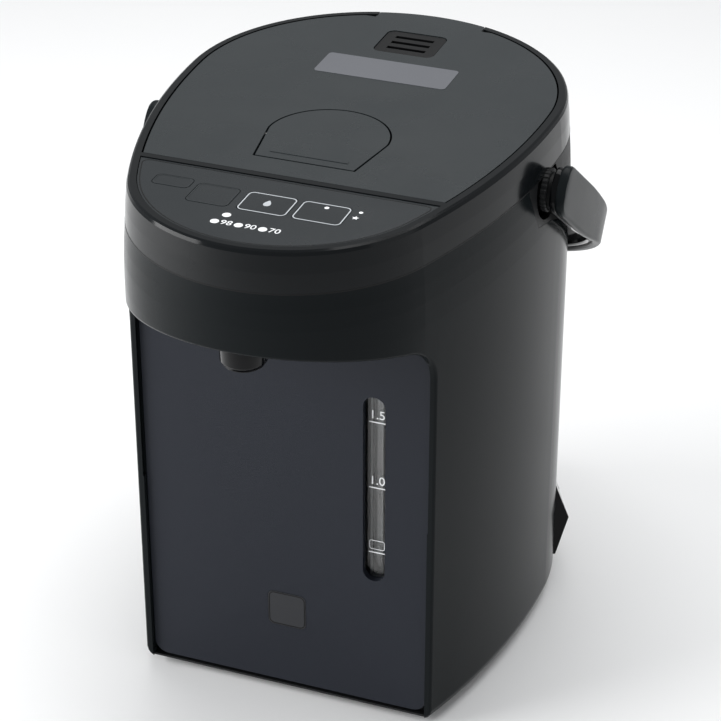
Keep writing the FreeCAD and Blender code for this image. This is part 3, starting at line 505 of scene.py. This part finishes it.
bossRings = dict(back=150.0, height=237.5, ribs=26, ribDepth=0.4, ribSharpness=3, sides=360,
                 profile=[(89.4, 8.25), (92.2, 8.25), (92.2, 9.438), (91.7, 9.9), (89.6, 9.9), (89.4, 9.57)],
                 ribbed=(0, 0, 1, 1, 1, 1))


def makeBossRing(name, side, s):
    # Ribbed ring round each pivot: the rim's depth is the tanh of a cosine, for square ribs with soft edges
    angle = np.linspace(0, 2 * np.pi, s["sides"], endpoint=False)
    rib = s["ribDepth"] * (0.5 + 0.5 * np.tanh(s["ribSharpness"] * np.cos(s["ribs"] * angle)))
    across, radius = np.array(s["profile"]).T
    grown = radius[:, None] - rib * np.array(s["ribbed"])[:, None]
    points = pot(side * across[:, None] + 0 * angle, s["back"] + grown * np.cos(angle),
                 s["height"] + grown * np.sin(angle))
    faces = gridFaces(len(radius), s["sides"], closeRows=True, closeCols=True)
    makePiece(name, points, faces, "mattBlack", "root", 28)


makeBossRing("bossRingRight", 1, bossRings)
makeBossRing("bossRingLeft", -1, bossRings)
print("nozzle and boss rings made")


# The body's outline from above, as arcs: rear half circle, two long sides and the nose
body = dict(width=184.0, depth=262.0, nose=74.0, arcSamples=400, sideSamples=200)


def outlineArc(inset, count):
    # Each arc's centre plus its radius times cosine and sine, sampled evenly along the whole length
    half, nose = body["width"] / 2, body["nose"]
    length = body["depth"] - half - nose
    step = half - nose
    shift = (length ** 2 - step ** 2) / (2 * step)
    turn = math.atan2(length, shift)
    rear = body["depth"] - half
    side = shift + half - inset
    a = np.linspace(0, np.pi, body["arcSamples"])
    b = np.linspace(0, turn, body["sideSamples"])
    c = np.linspace(turn, np.pi - turn, body["arcSamples"])
    x = np.concatenate([(half - inset) * np.cos(a), shift - side * np.cos(b), -(nose - inset) * np.cos(c),
                        side * np.cos(b[::-1]) - shift])
    y = np.concatenate([rear + (half - inset) * np.sin(a), rear - side * np.sin(b),
                        nose - (nose - inset) * np.sin(c), rear - side * np.sin(b[::-1])])
    run = np.concatenate([[0], np.cumsum(np.hypot(np.diff(x), np.diff(y)))])
    keep = np.concatenate([[True], np.diff(run) > 1e-9])
    even = np.linspace(0, run[-1], count, endpoint=False)
    return np.interp(even, run[keep], x[keep]), np.interp(even, run[keep], y[keep])


# Painted shade: a thin dark band at the seam stands in for the shadow of the gap between the body and the top
# frame
seam = dict(count=720, profile=[(1.36, 246.32), (1.36, 245.68), (2.2, 245.68), (2.2, 246.32)])


def makeSeamShade(s):
    # Painted shade in the seam: a dark band standing in for the gap's shadow between body and top frame, pairs
    # of inset and height carried round the outline
    points = np.stack([pot(*outlineArc(inset, s["count"]), height) for inset, height in s["profile"]])
    faces = gridFaces(len(s["profile"]), s["count"], closeRows=True, closeCols=True)
    makePiece("seamShadeBand", points, faces, "deepBlack", "root")


makeSeamShade(seam)


def loopLine(name, x, y, z, wide, high, finish, body, upright=False):
    # A printed line: a low bar carried round a closed path, its width across the path
    dx, dy = np.roll(x, -1) - np.roll(x, 1), np.roll(y, -1) - np.roll(y, 1)
    size = np.hypot(dx, dy)
    sideX, sideY = dy / size, -dx / size
    across = np.array([-1, 1, 1, -1])[:, None] * wide / 2
    rise = np.array([0, 0, high, high])[:, None] + 0 * x
    px, py = x + across * sideX, y + across * sideY
    points = pot(px, z - rise, py) if upright else pot(px, py, z + rise)
    makePiece(name, points, gridFaces(4, len(x), closeRows=True, closeCols=True), finish, body)


def cornerLoop(x, y, width, depth, radius):
    # Rounded rectangle as one closed path
    a, b = roundedBar(width / 2, depth / 2, radius, 9)
    return x + a[0], y + b[0]


# Marks on the control film: outlines of the keys, numbers beside the lenses and plain small marks
filmTop = 264.6
marks = dict(line=0.5, high=0.07, corner=2.3, inkDepth=0.04, plateHigh=0.06, lift=0.02)
keyLines = [
    dict(name="dispenseOutline", key="key_dispense", place=(0.0, 44.0), size=(21.2, 16.2), ink="printGrey"),
    dict(name="unlockOutline", key="key_unlock", place=(24.3, 44.0), size=(20.7, 16.2), ink="printGrey"),
    dict(name="keepWarmOutline", key="key_keep_warm", place=(-24.5, 44.0), size=(18.2, 16.2), ink="lidPlastic"),
    dict(name="reboilOutline", key="key_reboil", place=(-45.5, 50.0), size=(16.2, 8.2), ink="lidPlastic"),
]
for s in keyLines:
    x, y = cornerLoop(*s["place"], *s["size"], marks["corner"])
    loopLine(s["name"], x, y, filmTop, marks["line"], marks["high"], s["ink"], s["key"])


def makeText(name, words, size, x, back, z, body, upright=False):
    # A number is made a mesh first, then set in place
    curve = bpy.data.curves.new(name, "FONT")
    curve.body = words
    curve.size = size / 1000
    curve.extrude = marks["inkDepth"] / 1000
    curve.align_x = "CENTER"
    curve.align_y = "CENTER"
    source = bpy.data.objects.new(name + "Curve", curve)
    mesh = bpy.data.meshes.new_from_object(source)
    bpy.data.objects.remove(source)
    if upright:
        mesh.transform(Matrix.Rotation(math.pi / 2, 4, "X"))
    mesh.transform(Matrix.Translation(Vector(pot(x, back, z).tolist())))
    mesh.materials.clear()
    mesh.materials.append(made["printWhite"])
    mesh.name = name
    ob = bpy.data.objects.new(name, mesh)
    scene.collection.objects.link(ob)
    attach(ob, body)


numbers = dict(size=5.3, back=22.2, lift=0.05, places=(("98", -9.2), ("90", 1.4), ("70", 12.1)))
for words, x in numbers["places"]:
    z = filmTop + numbers["lift"]
    makeText("filmNumber" + words, words, numbers["size"], x, numbers["back"], z, "root")


def closedPlate(low, high):
    # The faces of a low plate: a wall between two rings of points, and one face on each ring
    count = len(low)
    wall = [[i, (i + 1) % count, count + (i + 1) % count, count + i] for i in range(count)]
    return np.concatenate([low, high]), wall + [list(range(count)), list(range(count, 2 * count))]


def makeFlatMark(name, outline, lift, finish, body):
    # A mark on the film: a low plate on a closed outline
    x, y = outline
    z = filmTop + lift
    points, faces = closedPlate(pot(x, y, z), pot(x, y, z + marks["plateHigh"]))
    makePiece(name, points, faces, finish, body)


def roundOutline(x, y, radius, count=32):
    angle = np.linspace(0, 2 * np.pi, count, endpoint=False)
    return x + radius * np.cos(angle), y + radius * np.sin(angle)


def starOutline(x, y, radius, tips=5, waist=0.42):
    # The radius swaps between full and the waist's share of it from point to point
    angle = np.pi / 2 + np.arange(2 * tips) * np.pi / tips
    reach = radius * np.where(np.arange(2 * tips) % 2 == 0, 1, waist)
    return x + reach * np.cos(angle), y + reach * np.sin(angle)


def dropOutline(x, y, radius, count=48, wide=0.9, tall=1.15):
    # A drop: the sideways reach is the sine times the half angle's sine
    angle = np.linspace(0, 2 * np.pi, count, endpoint=False)
    return x + radius * np.sin(angle) * np.sin(angle / 2) * wide, y + radius * np.cos(angle) * tall


masks = dict(x=38.6, backs=(51.0, 45.5), radius=2.0, lift=-0.03)
for k, back in enumerate(masks["backs"]):
    outline = roundOutline(masks["x"], back, masks["radius"])
    makeFlatMark(f"lensMask{k}", outline, masks["lift"], "filmFace", "root")
makeFlatMark("paceDot", roundOutline(39.3, 50.0, 0.9), marks["lift"], "printWhite", "root")
makeFlatMark("paceStar", starOutline(38.8, 44.7, 1.7), marks["lift"], "printWhite", "root")
makeFlatMark("dropMark", dropOutline(0.0, 44.5, 2.3), 0, "printGrey", "key_dispense")
makeFlatMark("unlockDot", roundOutline(24.5, 49.2, 1.0), 0, "printWhite", "key_unlock")

# Painted shade of the film's groove: a dark line on the outline drawn in, closed across the back and rounded at
# its corners
film = dict(inset=8.5, back=65.4, corner=5.0, samples=1600, count=900, line=0.5, high=0.05)


def filmLoop(s):
    # The part in front of the back line, from its widest gap round and closed, sampled evenly and averaged
    x, y = outlineArc(s["inset"], s["samples"])
    front = y < s["back"]
    x, y = x[front], y[front]
    start = np.argmax(np.hypot(np.diff(x, append=x[0]), np.diff(y, append=y[0])))
    x, y = np.roll(x, -start - 1), np.roll(y, -start - 1)
    x, y = np.append(x, x[0]), np.append(y, y[0])
    run = np.concatenate([[0], np.cumsum(np.hypot(np.diff(x), np.diff(y)))])
    even = np.linspace(0, run[-1], s["count"], endpoint=False)
    x, y = np.interp(even, run, x), np.interp(even, run, y)
    reach = int(s["corner"] / (run[-1] / s["count"]))
    weight = np.ones(2 * reach + 1) / (2 * reach + 1)
    return [np.convolve(np.concatenate([v[-reach:], v, v[:reach]]), weight, "valid") for v in (x, y)]


x, y = filmLoop(film)
loopLine("filmGrooveShade", x, y, filmTop, film["line"], film["high"], "deepBlack", "root")
print("film marks made")

# Level window: lines, numbers and an empty box printed on its front face
gauge = dict(back=60.4, lineX=43.3, lineHalf=(4.1, 0.28), lineFaces=(60.38, 60.31),
             lineHeights=(157.6, 123.4, 88.6),
             textX=43.1, textBack=60.34, textSize=6.2, texts=(("High", "1.5", 161.3), ("Low", "1.0", 127.1)),
             box=(43.1, 92.7, 7.0, 4.6, 0.9), boxLine=0.3, boxHigh=0.08)
for k, z in enumerate(gauge["lineHeights"]):
    across = np.array([-1, 1, 1, -1]) * gauge["lineHalf"][0]
    rise = np.array([-1, -1, 1, 1]) * gauge["lineHalf"][1]
    rings = [pot(gauge["lineX"] + across, back, z + rise) for back in gauge["lineFaces"]]
    points, faces = closedPlate(*rings)
    makePiece(f"levelLine{k}", points, faces, "printWhite", "root")
for level, words, z in gauge["texts"]:
    makeText("levelNumber" + level, words, gauge["textSize"], gauge["textX"], gauge["textBack"], z, "root",
             upright=True)
x, z = cornerLoop(*gauge["box"])
loopLine("levelBox", x, z, gauge["back"], gauge["boxLine"], gauge["boxHigh"], "printWhite", "root",
         upright=True)

# Thin dark line round the bare badge
badge = dict(height=48.0, size=17.4, back=57.1, corner=2.6, line=0.5, high=0.06)
x, z = cornerLoop(0.0, badge["height"], badge["size"], badge["size"], badge["corner"])
loopLine("badgeLine", x, z, badge["back"], badge["line"], badge["high"], "deepBlack", "root",
         upright=True)

# Grey collars on the feet
feet = dict(x=60.0, backs=(70.0, 215.0), sides=72,
            profile=[(6.6, 3.1), (7.7, 3.1), (8.1, 3.4), (8.1, 3.98), (6.6, 3.98)])


def makeCollar(name, x, back, s):
    radius, height = np.array(s["profile"]).T
    px, py, z = swungPoints(radius, height, s["sides"])
    faces = gridFaces(len(radius), s["sides"], closeRows=True, closeCols=True)
    makePiece(name, pot(x + px, back + py, z), faces, "trimGrey", "root")


for k, (x, back) in enumerate([(x, back) for x in (-feet["x"], feet["x"]) for back in feet["backs"]]):
    makeCollar(f"footCollar{k}", x, back, feet)
print("level window, badge line and feet made")
